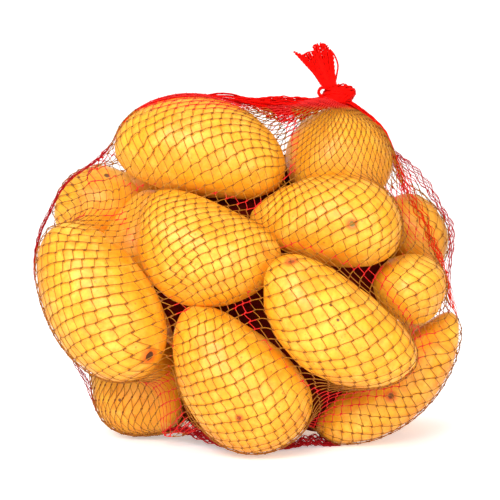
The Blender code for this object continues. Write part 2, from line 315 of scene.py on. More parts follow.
# ---------------------------------------------------------------- materials
LINK_R = (0.22, 0.26)     # the thin threads across the rows and the ones along them
SHADE_CORE_AT = (12.0, 32.0, 88.0)     # painted shade: a dark core behind the front potatoes, standing for the shade deep in the heap
SHADE_CORE_HALF = (73.0, 33.0, 61.0)


def nodes_of(name):
    mat = bpy.data.materials.new(name)
    mat.use_nodes = True
    nt = mat.node_tree
    return mat, nt, nt.nodes["Principled BSDF"]


def node(nt, kind, **values):
    n = nt.nodes.new(kind)
    for key, value in values.items():
        if key.startswith("in_"):
            n.inputs[key[3:].replace("_", " ")].default_value = value
        else:
            setattr(n, key, value)
    return n


def ramp(nt, fac, stops, interp='LINEAR'):
    r = nt.nodes.new("ShaderNodeValToRGB")
    r.color_ramp.interpolation = interp
    while len(r.color_ramp.elements) < len(stops):
        r.color_ramp.elements.new(0.5)
    for e, (pos, col) in zip(r.color_ramp.elements, stops):
        e.position = pos
        e.color = (*col, 1) if len(col) == 3 else col
    nt.links.new(fac, r.inputs["Fac"])
    return r.outputs["Color"]


def mix(nt, fac, a, b, blend='MIX'):
    m = nt.nodes.new("ShaderNodeMix")
    m.data_type = 'RGBA'
    m.blend_type = blend
    m.clamp_factor = True
    for sock, v in ((m.inputs[0], fac), (m.inputs[6], a), (m.inputs[7], b)):
        if isinstance(v, bpy.types.NodeSocket):
            nt.links.new(v, sock)
        else:
            sock.default_value = v if not isinstance(v, tuple) or len(v) == 4 else (*v, 1)
    return m.outputs[2]


def math_node(nt, op, a, b=0.0, clamp=False):
    m = nt.nodes.new("ShaderNodeMath")
    m.operation = op
    m.use_clamp = clamp
    for sock, v in ((m.inputs[0], a), (m.inputs[1], b)):
        if isinstance(v, bpy.types.NodeSocket):
            nt.links.new(v, sock)
        else:
            sock.default_value = v
    return m.outputs[0]


def noise(nt, vec, scale, detail=2.0, rough=0.5, dist=0.0):
    n = nt.nodes.new("ShaderNodeTexNoise")
    n.inputs["Scale"].default_value = scale
    n.inputs["Detail"].default_value = detail
    n.inputs["Roughness"].default_value = rough
    n.inputs["Distortion"].default_value = dist
    nt.links.new(vec, n.inputs["Vector"])
    return n.outputs[0]


def potato_material(name, offset, marks=(), painted_shade_darkening=0.0):
    mat, nt, bsdf = nodes_of(name)
    tc = nt.nodes.new("ShaderNodeTexCoord")
    shifted = nt.nodes.new("ShaderNodeVectorMath")
    shifted.operation = 'ADD'
    shifted.inputs[1].default_value = offset
    nt.links.new(tc.outputs["Object"], shifted.inputs[0])
    vec = shifted.outputs[0]
    # base: broad patches of deeper and paler yellow
    broad = noise(nt, vec, 28, 3, 0.55)
    col = ramp(nt, broad, [(0.30, (0.83, 0.315, 0.007)), (0.52, (0.87, 0.405, 0.016)), (0.75, (0.90, 0.490, 0.040))])
    # smaller pale patches
    pale = noise(nt, vec, 95, 4, 0.6, 0.3)
    col = mix(nt, ramp(nt, pale, [(0.50, (0, 0, 0)), (0.72, (0.62, 0.62, 0.62))]), col, (0.92, 0.57, 0.095))
    # fine mottling
    fine = noise(nt, vec, 260, 4, 0.6)
    col = mix(nt, ramp(nt, fine, [(0.40, (0, 0, 0)), (0.70, (0.60, 0.60, 0.60))]), col, (0.78, 0.235, 0.005))
    # russet blush
    blush = noise(nt, vec, 55, 3, 0.6, 0.4)
    col = mix(nt, ramp(nt, blush, [(0.57, (0, 0, 0)), (0.74, (0.60, 0.60, 0.60))]), col, (0.78, 0.20, 0.005))
    # painted shade: the whole skin darkened towards a deep orange-brown
    if painted_shade_darkening:
        col = mix(nt, painted_shade_darkening, col, (0.48, 0.16, 0.005))
    # lenticels: small brown specks of two sizes
    speck = None
    for scale, low, high, gate, part in ((210, 0.08, 0.18, 0.47, 0.62), (430, 0.10, 0.24, 0.52, 0.45)):
        vor = nt.nodes.new("ShaderNodeTexVoronoi")
        vor.inputs["Scale"].default_value = scale
        vor.inputs["Randomness"].default_value = 1.0
        nt.links.new(vec, vor.inputs["Vector"])
        keep = ramp(nt, noise(nt, vec, 0.45 * scale, 2, 0.5), [(gate, (0, 0, 0)), (gate + 0.08, (1, 1, 1))])
        dots = ramp(nt, vor.outputs["Distance"], [(low, (1, 1, 1)), (high, (0, 0, 0))])
        one = math_node(nt, 'MULTIPLY', dots, keep)
        col = mix(nt, math_node(nt, 'MULTIPLY', one, part), col, (0.36, 0.13, 0.015))
        speck = one if speck is None else math_node(nt, 'MAXIMUM', speck, one)
    height = math_node(nt, 'MULTIPLY', speck, -0.6)
    for centre, radius, colour, halo in marks:
        dist = nt.nodes.new("ShaderNodeVectorMath")
        dist.operation = 'DISTANCE'
        nt.links.new(tc.outputs["Object"], dist.inputs[0])
        dist.inputs[1].default_value = centre
        ragged = math_node(nt, 'MULTIPLY', noise(nt, vec, 420, 3, 0.6), radius * 1.1)
        d = math_node(nt, 'SUBTRACT', dist.outputs["Value"], ragged)
        near = math_node(nt, 'SUBTRACT', 1.0, math_node(nt, 'DIVIDE', d, radius, True), True)
        ring = math_node(nt, 'SUBTRACT', 1.0, math_node(nt, 'DIVIDE', d, radius * 3.0, True), True)
        if halo:
            col = mix(nt, ramp(nt, ring, [(0.05, (0, 0, 0)), (0.6, (0.92, 0.92, 0.92))]), col, halo)
        col = mix(nt, ramp(nt, near, [(0.15, (0, 0, 0)), (0.45, (0.9, 0.9, 0.9))]), col, colour)
        height = math_node(nt, 'SUBTRACT', height, near)
    nt.links.new(col, bsdf.inputs["Base Color"])
    rough = ramp(nt, noise(nt, vec, 120, 3, 0.6), [(0.3, (0.36, 0.36, 0.36)), (0.7, (0.50, 0.50, 0.50))])
    nt.links.new(rough, bsdf.inputs["Roughness"])
    bsdf.inputs["Specular IOR Level"].default_value = 0.38
    bsdf.inputs["Subsurface Weight"].default_value = 0.22
    bsdf.inputs["Subsurface Radius"].default_value = (1.0, 0.50, 0.06)
    bsdf.inputs["Subsurface Scale"].default_value = 0.004
    h = math_node(nt, 'ADD', height, math_node(nt, 'MULTIPLY', noise(nt, vec, 330, 5, 0.65), 0.45))
    h = math_node(nt, 'ADD', h, math_node(nt, 'MULTIPLY', noise(nt, vec, 70, 3, 0.5), 0.8))
    bump = nt.nodes.new("ShaderNodeBump")
    bump.inputs["Strength"].default_value = 0.35
    bump.inputs["Distance"].default_value = 0.0004
    nt.links.new(h, bump.inputs["Height"])
    nt.links.new(bump.outputs["Normal"], bsdf.inputs["Normal"])
    return mat


def net_material(name, lit, deep, rough=0.5, resting=None, spec=0.05):
    """Drawn red net plastic. Where a potato lies close behind a thin thread, the thread is painted olive-brown: painted
    shade and see-through colour, standing for the thread's shadow on the potato and the potato's yellow seen through
    it.
    """
    mat, nt, bsdf = nodes_of(name)
    tc = nt.nodes.new("ShaderNodeTexCoord")
    n = noise(nt, tc.outputs["Object"], 900, 3, 0.6)
    col = ramp(nt, n, [(0.3, deep), (0.7, lit)])
    # painted shade and see-through colour: threads with a potato close behind are coloured olive-brown
    if resting:
        att = nt.nodes.new("ShaderNodeAttribute")
        att.attribute_name = "touch"
        far = nt.nodes.new("ShaderNodeMapRange")
        far.inputs["From Min"].default_value = 4.5
        far.inputs["From Max"].default_value = 9.0
        nt.links.new(att.outputs["Fac"], far.inputs["Value"])
        col = mix(nt, far.outputs["Result"], ramp(nt, n, [(0.3, resting[0]), (0.7, resting[1])]), col)
    nt.links.new(col, bsdf.inputs["Base Color"])
    bsdf.inputs["Roughness"].default_value = rough
    bsdf.inputs["Specular IOR Level"].default_value = spec
    bump = nt.nodes.new("ShaderNodeBump")
    bump.inputs["Strength"].default_value = 0.4
    bump.inputs["Distance"].default_value = 0.0002
    nt.links.new(noise(nt, tc.outputs["Object"], 2500, 2, 0.6), bump.inputs["Height"])
    nt.links.new(bump.outputs["Normal"], bsdf.inputs["Normal"])
    return mat


RED = net_material("red_net_bunched", (0.86, 0.004, 0.001), (0.44, 0.001, 0.001), 0.55, None, 0.03)
LOOSE = net_material("red_net_loose", (0.50, 0.010, 0.014), (0.22, 0.003, 0.006), 0.55)
STRAND = net_material("red_net_strand", (0.74, 0.030, 0.006), (0.46, 0.012, 0.002), 0.55)
# the threads and stitches get painted olive-brown and dark brown where a potato lies close behind them
THREAD = net_material("red_net_thread", (0.80, 0.022, 0.016), (0.52, 0.006, 0.008), 0.45,
                      ((0.30, 0.095, 0.006), (0.45, 0.17, 0.009)), 0.2)
KNIT = net_material("red_net_stitch", (0.72, 0.014, 0.012), (0.44, 0.004, 0.006), 0.45,
                    ((0.17, 0.045, 0.004), (0.28, 0.085, 0.007)), 0.2)

# ---------------------------------------------------------------- potatoes


def icosphere(level):
    bm = bmesh.new()
    bmesh.ops.create_icosphere(bm, subdivisions=level, radius=1.0)
    v = np.array([q.co[:] for q in bm.verts])
    f = [[q.index for q in face.verts] for face in bm.faces]
    bm.free()
    return v / np.linalg.norm(v, axis=1)[:, None], f


FINE, FINE_F = icosphere(6)
COARSE, COARSE_F = icosphere(5)


def front_point(p, px, py):
    """Where the line of sight through a pixel first meets potato p."""
    y = np.linspace(p.c[1] - 70, p.c[1] + 70, 561)
    pts = np.array([at_pixel(px, py, v) for v in y])
    d, _ = p.depth(pts)
    hit = np.argmax(d < 0) if (d < 0).any() else np.argmin(d)
    return tuple((pts[hit] + SHIFT) * MM)


BLACK, BROWN, HALO = (0.012, 0.010, 0.010), (0.12, 0.035, 0.008), (0.72, 0.13, 0.006)
MARKS = {
    0: [],
    2: [((352, 224), 0.0013, (0.20, 0.16, 0.02), HALO)],
    3: [((107, 175), 0.0013, BROWN, None)],
    4: [((149.5, 356), 0.0020, BLACK, HALO)],
    6: [((239, 418), 0.0009, (0.3, 0.03, 0.01), HALO)],
    7: [((338, 320), 0.0008, BROWN, None), ((331, 305), 0.0008, BROWN, None), ((291, 261), 0.0014, (0.4, 0.08, 0.02), HALO)],
    10: [((120, 400), 0.0008, BROWN, None)],
    11: [((391, 396), 0.0013, BROWN, HALO)],
}

def skin_detail(p, x, eyes):
    """The fine form of the skin: gentle unevenness, and shallow eyes with a low brow."""
    _, n = p.depth(x)
    rng = np.random.RandomState(900 + p.seed)
    k = rng.normal(size=(16, 3))
    k *= (2 * math.pi / rng.uniform(7.0, 24.0, 16) / np.linalg.norm(k, axis=1))[:, None]
    am = 0.0040 * 2 * math.pi / np.linalg.norm(k, axis=1)
    move = (np.cos((x - p.c) @ k.T + rng.uniform(0, 2 * math.pi, 16)) * am).sum(-1)
    for centre, radius, deep in eyes:
        off = x - centre
        r = np.linalg.norm(off, axis=1)
        move -= deep * np.exp(-(r / radius) ** 2)
        brow = np.linalg.norm(off - p.R[:, 0] * radius * 1.5, axis=1)
        move += 0.30 * deep * np.exp(-(brow / (0.9 * radius)) ** 2)
    return x + n * np.clip(move, -1.2, 0.14)[:, None]


for i, p in enumerate(potatoes):
    s, f = (FINE, FINE_F) if i < 9 else (COARSE, COARSE_F)
    marks = [(front_point(p, *m[0]), *m[1:]) for m in MARKS.get(i, [])]
    rng = np.random.RandomState(700 + p.seed)
    d = rng.normal(size=(rng.randint(5, 9), 3))
    d /= np.linalg.norm(d, axis=1)[:, None]
    eyes = [(q, rng.uniform(1.5, 2.6), rng.uniform(0.30, 0.65)) for q in p.skin(d)]
    eyes += [(np.array(m[0]) / MM - SHIFT, 1.9, 0.6) for m in marks if m[1] > 0.0012]
    # the tenth potato's skin is darkened towards brown by 0.40 as painted shade
    mat = potato_material("potato_skin_%02d" % (i + 1), (0.37 * i, 0.11 * i, 0.23 * i), marks, 0.40 if i == 9 else 0.0)
    ob = new_mesh("potato_%02d" % (i + 1), skin_detail(p, p.skin(s), eyes), f, mat)
    finish_piece(ob)

# ---------------------------------------------------------------- the net
def catmull(t):
    return (-0.5 * t ** 3 + t ** 2 - 0.5 * t, 1.5 * t ** 3 - 2.5 * t ** 2 + 1,
            -1.5 * t ** 3 + 2 * t ** 2 + 0.5 * t, 0.5 * t ** 3 - 0.5 * t ** 2)


def on_film(u, v):
    """Point of the film at column u (any real, periodic) and row v in 0..NET_ROWS."""
    u = np.mod(u, NET_COLUMNS)
    v = np.clip(v, 0, NET_ROWS - 1e-6)
    iu, iv = np.floor(u).astype(int), np.floor(v).astype(int)
    wu, wv = catmull(u - iu), catmull(v - iv)
    total = 0
    for a in range(4):
        col = (iu - 1 + a) % NET_COLUMNS
        part = 0
        for b in range(4):
            row = np.clip(iv - 1 + b, 0, NET_ROWS)
            part = part + wv[b][..., None] * film[row, col]
        total = total + wu[a][..., None] * part
    return total


def film_normal(u, v):
    e = 0.35
    a = on_film(u + e, v) - on_film(u - e, v)
    b = on_film(u, np.minimum(v + e, NET_ROWS)) - on_film(u, np.maximum(v - e, 0))
    n = np.cross(a, b)
    n /= np.linalg.norm(n, axis=-1, keepdims=True) + 1e-9
    out = on_film(u, v) - np.array(MIDDLE)
    return n * np.sign((n * out).sum(-1, keepdims=True))


def hold_out(x, gap):
    """Push points out of the potatoes and the ground to at least gap."""
    flat = x.reshape(-1, 3).copy()
    for _ in range(3):
        for p in potatoes:
            near = np.linalg.norm(flat - p.c, axis=1) < p.h.max() + 4
            if near.any():
                d, n = p.depth(flat[near])
                flat[near] += n * np.maximum(gap - d, 0)[:, None]
        flat[:, 2] = np.maximum(flat[:, 2], gap)
    return flat.reshape(x.shape)


def contact(x):
    """Distance to the nearest potato."""
    flat = x.reshape(-1, 3)
    best = np.full(len(flat), 99.0)
    for p in potatoes:
        near = np.linalg.norm(flat - p.c, axis=1) < p.h.max() + 10
        if near.any():
            d, _ = p.depth(flat[near])
            best[near] = np.minimum(best[near], d)
    return best.reshape(x.shape[:-1])


def backing(x, outward):
    """How far behind the net a potato lies: small where one does, large over an open gap. It sets where the threads get
    their painted see-through brown.
    """
    best = 3.0 * np.maximum(contact(x) - 0.9, 0)
    for s in (2.0, 4.0, 6.0, 9.0, 12.0, 15.0, 18.0, 21.0, 24.0, 27.0, 30.0):
        best = np.minimum(best, 0.2 * s + 5.0 * np.maximum(contact(x - s * outward) - 0.2, 0))
    # at the top the net is drawn together and shows its own red
    return np.maximum(best, 9.0 * np.clip((x[..., 2] - 188.0) / 6.0, 0, 1))


COLUMNS = 59              # meshes round the net
ROWS = 73                 # half meshes along it
GATHER = (155.6, -70.4)   # direction of the lower gather from the middle of the heap
# how unevenly the net is drawn: each wave is a size and where round the net it peaks
CROWD_1 = (0.297, 3.67)   # the meshes crowd together on one side,
CROWD_2 = (0.215, 0.12)   # and on two opposite sides
TWIST = -0.113            # the whole net's twist between its ends,
TWIST_SIDE = (0.411, 3.73)       # and where it is twisted more
TWIST_ENDS = (-0.023, 0.31)      # the same, opposite near either end
DRAWN_UP = (-0.007, -0.053, 0.16)    # rows drawn up: everywhere, and on one side
DRAWN_ENDS = (0.029, 0.048, 1.87)    # the same, opposite near either end
_mid, _neck = np.array(MIDDLE), np.array(KNOT_AT)
_axis = (_neck - _mid) / np.linalg.norm(_neck - _mid)
_e1 = np.cross([0, 1, 0], _axis)
_e1 /= np.linalg.norm(_e1)
_e2 = np.cross(_axis, _e1)


def to_plane(d):
    """Directions from the middle, laid out on a plane with the neck at infinity."""
    th = np.arccos(np.clip(-(d @ _axis), -1, 1))
    return np.tan(th / 2) * np.exp(1j * np.arctan2(d @ _e2, d @ _e1))


def film_uv(z):
    th = 2 * np.arctan(np.abs(z))
    u = np.mod(np.angle(z), 2 * math.pi) / (2 * math.pi) * NET_COLUMNS
    v = (th - POLE_ANGLE) / (math.pi - 2 * POLE_ANGLE) * NET_ROWS
    return u, np.clip(v, 0, NET_ROWS)


# arc length along the net's lengthwise lines, to space the rows evenly
MER = 144
TN = 400


def lengthwise(gather):
    """The gather's place on the plane, and how far out each share of the way up the net lies."""
    ga, gb = (math.radians(v) for v in gather)
    foot = to_plane(np.array([[math.cos(ga) * math.cos(gb), math.sin(ga) * math.cos(gb), math.sin(gb)]]))[0]
    log_rho = np.linspace(math.log(0.02), math.log(1 / math.tan(POLE_ANGLE / 2) * 1.25), 520)
    mer_a = np.arange(MER) * 2 * math.pi / MER
    line = on_film(*film_uv(foot + np.exp(log_rho)[None, :] * np.exp(1j * mer_a)[:, None]))
    run = np.concatenate([np.zeros((MER, 1)), np.cumsum(np.linalg.norm(np.diff(line, axis=1), axis=2), axis=1)], 1)
    run /= run[:, -1:]
    return foot, np.array([np.interp(np.linspace(0, 1, TN + 1), run[k], log_rho) for k in range(MER)])


GATHER_Z, rho_table = lengthwise(GATHER)


def place(a, t):
    """Film column and row at angle a round the net and share t of the way up it."""
    q = np.mod(a, 2 * math.pi) / (2 * math.pi) * MER
    i = np.floor(q).astype(int)
    fa = q - i
    b = np.clip(t, 0, 1) * TN
    j = np.minimum(np.floor(b).astype(int), TN - 1)
    fb = b - j
    g = lambda ii, jj: rho_table[ii % MER, jj]
    r = ((1 - fa) * ((1 - fb) * g(i, j) + fb * g(i, j + 1)) + fa * ((1 - fb) * g(i + 1, j) + fb * g(i + 1, j + 1)))
    return film_uv(GATHER_Z + np.exp(r) * np.exp(1j * a))


def wave(a, b, seed, n=7, low=1.0, high=4.0):
    """Smooth unevenness over the lattice: a is an angle, b runs 0..1."""
    rng = np.random.RandomState(seed)
    total = 0
    for _ in range(n):
        m = rng.randint(1, int(high) + 1)
        k = rng.uniform(low, high) * 2
        total = total + rng.uniform(0.5, 1) * np.cos(m * a + rng.uniform(0, 6.28) + k * b * math.pi)
    return total / n * 1.6


def lattice(columns, rows, crowd_1, crowd_2, twist, twist_side, twist_ends, drawn_up, drawn_ends):
    """Angle round the net, and share of the way up it, of every crossing of its threads."""
    jj, ii = np.meshgrid(np.arange(rows + 1), np.arange(columns), indexing='ij')
    a = (ii + 0.5 * (jj % 2)) * 2 * math.pi / columns
    t = 0.004 + 0.990 * jj / rows
    mid_w, end_w = np.sin(math.pi * t), np.sin(2 * math.pi * t)
    return (a - crowd_1[0] * np.sin(a - crowd_1[1]) - crowd_2[0] * np.sin(2 * a - crowd_2[1])
            + (twist + twist_side[0] * np.cos(a - twist_side[1])) * mid_w + twist_ends[0] * np.cos(a - twist_ends[1]) * end_w,
            t + (drawn_up[0] + drawn_up[1] * np.cos(a - drawn_up[2])) * mid_w
            + (drawn_ends[0] + drawn_ends[1] * np.cos(a - drawn_ends[2])) * end_w)


def unplace(z, a_near):
    """The angle (next to a_near) and share of the way up for points z of the plane."""
    z = z - GATHER_Z
    a = a_near + np.mod(np.angle(z) - a_near + math.pi, 2 * math.pi) - math.pi
    q = np.mod(a, 2 * math.pi) / (2 * math.pi) * MER
    i = np.floor(q).astype(int)
    fa = (q - i)[..., None]
    line = (1 - fa) * rho_table[i % MER] + fa * rho_table[(i + 1) % MER]
    r = np.log(np.abs(z))
    k = np.clip((line < r[..., None]).sum(-1) - 1, 0, TN - 1)
    lo = np.take_along_axis(line, k[..., None], -1)[..., 0]
    hi = np.take_along_axis(line, k[..., None] + 1, -1)[..., 0]
    return a, np.clip((k + (r - lo) / (hi - lo)) / TN, 0, 1)


def even_out(a, t, steps, rate=0.6):
    """Let the crossings slide over the film towards the middle of their four neighbours."""
    odd = (np.arange(len(a)) % 2 == 1)[:, None, None]
    for _ in range(steps):
        x = on_film(*place(a, t))
        two = x + np.where(odd, np.roll(x, 1, axis=1), np.roll(x, -1, axis=1))    # the two that a row's neighbours share
        mean = x.copy()
        mean[1:-1] = 0.25 * (two[2:] + two[:-2])
        d = x + rate * (mean - x) - _mid
        d /= np.linalg.norm(d, axis=-1, keepdims=True)
        a2, t2 = unplace(to_plane(d), a)
        hold = (np.sin(math.pi * t) > 0.10)
        hold[0] = hold[-1] = False
        a, t = np.where(hold, a2, a), np.where(hold, t2, t)
    return a, t


A, Tt = even_out(*lattice(COLUMNS, ROWS, CROWD_1, CROWD_2, TWIST, TWIST_SIDE, TWIST_ENDS, DRAWN_UP, DRAWN_ENDS), 8)
mid_w = np.sin(math.pi * Tt)
ease = mid_w ** 0.5
near_a = np.minimum(np.roll(A, -1, 1) - A, A - np.roll(A, 1, 1))
near_a[:, -1] = A[:, -1] - A[:, -2]
near_a[:, 0] = A[:, 1] - A[:, 0]                    # local distance between neighbours
near_t = np.abs(np.gradient(Tt, axis=0))
A = A + 0.22 * near_a * wave(A, Tt, 5, high=7.0) * ease
Tt = Tt + 0.30 * near_t * wave(A, Tt, 6, high=7.0) * ease
rng = np.random.RandomState(11)
A += rng.normal(0, 0.050, A.shape) * near_a * ease
Tt += rng.normal(0, 0.065, A.shape) * near_t * ease
half = 0.10 * near_t                       # half length of a stitch along the net
lean = 0.07 * near_a                       # and how far it leans round the net

# stitches: the short thick knots of the knitting, one at each crossing
K = 4
w = np.linspace(-1, 1, K)
neck_ease = np.clip((1 - Tt) * 6, 0.15, 1)
tt = Tt[..., None] + w * half[..., None]
aa = A[..., None] + w * (lean * neck_ease)[..., None]
u, v = place(aa, tt)
SX = hold_out(on_film(u, v).reshape(-1, K, 3), 0.30)
SN = film_normal(u, v).reshape(-1, K, 3)
STITCH_R = 0.52
prof = np.array([0.5, 1.0, 1.0, 0.5]) * STITCH_R
stitch_r = np.repeat(prof[None], len(SX), 0) * rng.uniform(0.85, 1.15, (len(SX), 1))
stitches = tube_piece("net_stitches", SX, stitch_r, SN, 5, KNIT, {"touch": backing(SX, SN)})
finish_piece(stitches)

# links: from each stitch's upper end to the lower ends of the two stitches above it
L = 5
BOW = (0.05, -0.07)       # how far each family of links bows, in meshes
i2, j2 = np.meshgrid(np.arange(COLUMNS), np.arange(ROWS))
parts = []
for side in (0, 1):
    target = (i2 + np.where(j2 % 2 == 1, side, side - 1)) % COLUMNS
    a0 = A[j2, i2] + (lean * neck_ease)[j2, i2]
    t0 = Tt[j2, i2] + half[j2, i2]
    a1 = A[j2 + 1, target] - (lean * neck_ease)[j2 + 1, target]
    t1 = Tt[j2 + 1, target] - half[j2 + 1, target]
    a1 = a0 + np.mod(a1 - a0 + math.pi, 2 * math.pi) - math.pi
    w = np.linspace(0, 1, L)
    # a link bows a little between its ends
    bow = (BOW[side] + rng.normal(0, 0.05, a0.shape))[..., None] * np.sin(math.pi * w)
    u, v = place(a0[..., None] * (1 - w) + a1[..., None] * w + bow * near_a[j2, i2][..., None],
                 t0[..., None] * (1 - w) + t1[..., None] * w - (1 - 2 * side) * bow * near_t[j2, i2][..., None])
    parts.append((on_film(u, v).reshape(-1, L, 3), film_normal(u, v).reshape(-1, L, 3), LINK_R[side]))
LX = hold_out(np.concatenate([q[0] for q in parts]), 0.22)
LN = np.concatenate([q[1] for q in parts])
link_r = np.concatenate([np.full(q[0].shape[:2], q[2]) for q in parts]) * rng.uniform(0.85, 1.15, (len(LX), 1))
front = LX[:, 2, 1] < MIDDLE[1] + 6
for name, pick in (("net_links_front", front), ("net_links_back", ~front)):
    ob = tube_piece(name, LX[pick], link_r[pick], LN[pick], 4, THREAD, {"touch": backing(LX[pick], LN[pick])})
    finish_piece(ob)

# ---------------------------------------------------------------- bunched net: bands, knot and tail
SIDEWAYS = np.array([0.12, -1.0, 0.21])


def smooth_path(way, m):
    """Catmull-Rom through the way points (n, k, 3), resampled to m points."""
    way = np.concatenate([2 * way[:1] - way[1:2], way, 2 * way[-1:] - way[-2:-1]])
    n = len(way) - 3
    t = np.linspace(0, n - 1e-6, m)
    i = np.floor(t).astype(int)
    f = (t - i)[:, None, None]
    a, b, c, d = way[i], way[i + 1], way[i + 2], way[i + 3]
    return 0.5 * (2 * b + (c - a) * f + (2 * a - 5 * b + 4 * c - d) * f ** 2 + (3 * b - a - 3 * c + d) * f ** 3)


def bundle(name, way, count, m, radius, seed, zig=0.10, turns=9, gap=0.4, hold=True, fray=(0.0, 0.0), mat=RED):
    """Bunched net: count threads through way points (px, py, depth y, half height mm, half depth mm)."""
    rng = np.random.RandomState(seed)
    centre = np.array([at_pixel(px, py, y) for px, py, y, _, _ in way])
    along = np.gradient(centre, axis=0)
    side = np.stack([-along[:, 2], 0 * along[:, 0], along[:, 0]], 1)
    side /= np.linalg.norm(side, axis=1, keepdims=True) + 1e-9
    al = rng.uniform(-1, 1, count)
    be = rng.uniform(-1, 1, count) * np.sqrt(1 - 0.6 * al ** 2)
    jit = rng.normal(0, 0.10, (len(way), count, 2))
    hs = np.array([w[3] for w in way])[:, None]
    hd = np.array([w[4] for w in way])[:, None]
    pts = (centre[:, None, :] + side[:, None, :] * (hs * (al[None] + jit[..., 0]))[..., None] +
           np.array([0, 1.0, 0]) * (hd * (be[None] + jit[..., 1]))[..., None])
    path = smooth_path(pts, m)
    s = np.linspace(0, 1, m)[:, None]
    tri = np.abs(np.mod(s * turns + rng.uniform(0, 1, count)[None], 1) - 0.5) * 4 - 1
    grow = np.sin(math.pi * np.clip(s, 0, 1)) ** 0.5
    hs_s = np.interp(np.linspace(0, 1, m), np.linspace(0, 1, len(way)), hs[:, 0])[:, None]
    sd = smooth_path(np.repeat(side[:, None, :], 1, 1), m)
    path = path + sd * (zig * hs_s * tri * grow)[..., None]
    P = np.transpose(path, (1, 0, 2))
    # the threads leave the bundle one after another
    first, last = rng.uniform(0, 1, (2, count, 1)) * np.array(fray)[:, None, None]
    at = (first + (1 - last - first) * np.linspace(0, 1, m)[None]) * (m - 1)
    i = np.minimum(np.floor(at).astype(int), m - 2)
    f = (at - i)[..., None]
    k = np.arange(count)[:, None]
    P = (1 - f) * P[k, i] + f * P[k, i + 1]
    if hold:
        P = hold_out(P, gap)
    ends = np.clip(np.minimum(s[:, 0], 1 - s[:, 0]) * 14, 0.5, 1)
    R = radius * rng.uniform(0.75, 1.25, (count, 1)) * ends[None]
    N = np.repeat(np.repeat(SIDEWAYS[None, None], count, 0), m, 1)
    return finish_piece(tube_piece(name, P, R, N, 5, mat))


# the ridge: net drawn in a band from the knot across to the left potato's top
bundle("net_band_left", [(331, 101, 26, 3.2, 4), (318, 104, 25, 3.4, 4), (298, 106.5, 22, 4.9, 5), (276, 105.5, 18, 4.6, 5),
                         (256, 102, 13, 2.2, 6), (242, 99.5, 10, 1.6, 8), (226, 97.5, 8, 1.2, 8)], 72, 50, 0.38, 21, fray=(0.0, 0.30))
# a few of its threads run on over the left potato, and one loop stands clear of it
bundle("net_band_top", [(276, 103, 17, 2.2, 4), (256, 101.5, 13, 1.6, 5), (238, 99, 10, 1.3, 6), (215, 97, 8, 1.2, 7), (190, 97.5, 6, 1.0, 7),
                        (160, 102, 5, 0.9, 7), (135, 113, 5, 0.8, 7), (114, 140, 6, 0.8, 6)], 15, 66, 0.27, 36, fray=(0.1, 0.45))
bundle("net_band_loop", [(254, 100.5, 12, 0.5, 1), (243, 97.5, 11, 0.4, 1), (232, 94.3, 10, 0.4, 1), (219, 93.5, 9, 0.4, 1),
                         (208, 95, 8, 0.4, 1), (197, 97, 7, 0.5, 1)], 4, 40, 0.27, 37)
# slack strands that leave the ridge and cross the open place between the two top potatoes
bundle("net_band_slack", [(325, 105, 25, 2.0, 3), (306, 112, 23, 2.6, 4), (290, 116, 20, 2.8, 4), (276, 115, 17, 2.6, 4),
                          (262, 109, 13, 1.8, 5), (250, 103, 10, 1.2, 5)], 12, 44, 0.26, 28, zig=0.5, turns=7, fray=(0.1, 0.4))
# the band over the right potato's shoulder
bundle("net_band_right", [(343, 102, 27, 3.0, 4), (355, 108, 28, 1.8, 7), (370, 119, 30, 1.7, 9), (382, 132, 31, 1.6, 9),
                          (389, 145, 32, 1.5, 7), (393, 154, 32, 1.6, 4)], 44, 40, 0.42, 22, fray=(0.0, 0.45))
bundle("net_band_shoulder", [(391, 149, 31, 1.2, 4), (394.5, 160, 27, 1.4, 4), (398, 172, 23, 1.8, 4), (402, 185, 20, 1.6, 4),
                             (405, 198, 17, 1.4, 3)], 9, 34, 0.24, 38, zig=0.45, turns=5, fray=(0.0, 0.35))
bundle("net_band_over", [(391, 149, 32, 1.3, 4), (396, 160, 27, 1.5, 4), (404, 180, 20, 2.2, 4), (413, 200, 16, 3.0, 4),
                         (422, 219, 14, 3.4, 4), (430, 236, 10, 3.0, 4), (437, 252, 4, 2.2, 3), (443.5, 266, -2, 1.4, 3),
                         (447.5, 281, -5, 0.9, 2), (449.5, 295, -6, 0.9, 2), (454, 308, -8, 1.2, 2), (459, 318, -8, 1.0, 2)],
       9, 66, 0.21, 23, zig=0.4, turns=15, fray=(0.0, 0.12), mat=STRAND)
bundle("net_band_outer", [(392, 150, 31, 1.2, 4), (400, 158, 30, 1.4, 5), (412, 170, 30, 2.4, 8), (427, 188, 30, 2.2, 9), (440, 208, 30, 1.4, 7),
                          (449, 224, 28, 1.6, 6), (451, 240, 24, 1.5, 6), (449, 262, 16, 1.1, 5), (448.5, 282, 8, 0.9, 4), (454, 306, -2, 1.2, 3)],
       8, 66, 0.20, 24, zig=0.55, turns=13, fray=(0.0, 0.2), mat=LOOSE)
# strands down the left flank, clear of the potatoes where the net bridges from one to the next
bundle("net_flank_upper", [(117, 133, 6, 0.5, 3), (112, 143, 7, 0.6, 3), (104, 153, 8, 0.8, 3), (94, 162, 9, 0.8, 3), (83, 169.5, 9, 0.8, 3),
                           (70, 179, 8, 0.8, 3), (59, 193, 6, 0.8, 3), (49, 213, 0, 1.0, 3), (41.5, 228, -8, 1.0, 3), (37, 243, -14, 0.9, 3),
                           (34.8, 258, -18, 0.7, 3), (34.5, 275, -20, 0.6, 3), (37, 292, -22, 0.5, 3)], 9, 74, 0.20, 29, zig=0.5, turns=18,
       fray=(0.15, 0.3), mat=LOOSE)
bundle("net_flank_lower", [(60, 341, -18, 0.6, 3), (71, 358, -14, 0.8, 3), (80, 371, -8, 1.1, 4), (87, 383, 0, 1.2, 4),
                           (92, 397, 6, 0.9, 4), (98, 412, 10, 0.7, 4)], 6, 44, 0.20, 30, zig=0.5, turns=8, fray=(0.4, 0.4), mat=LOOSE)
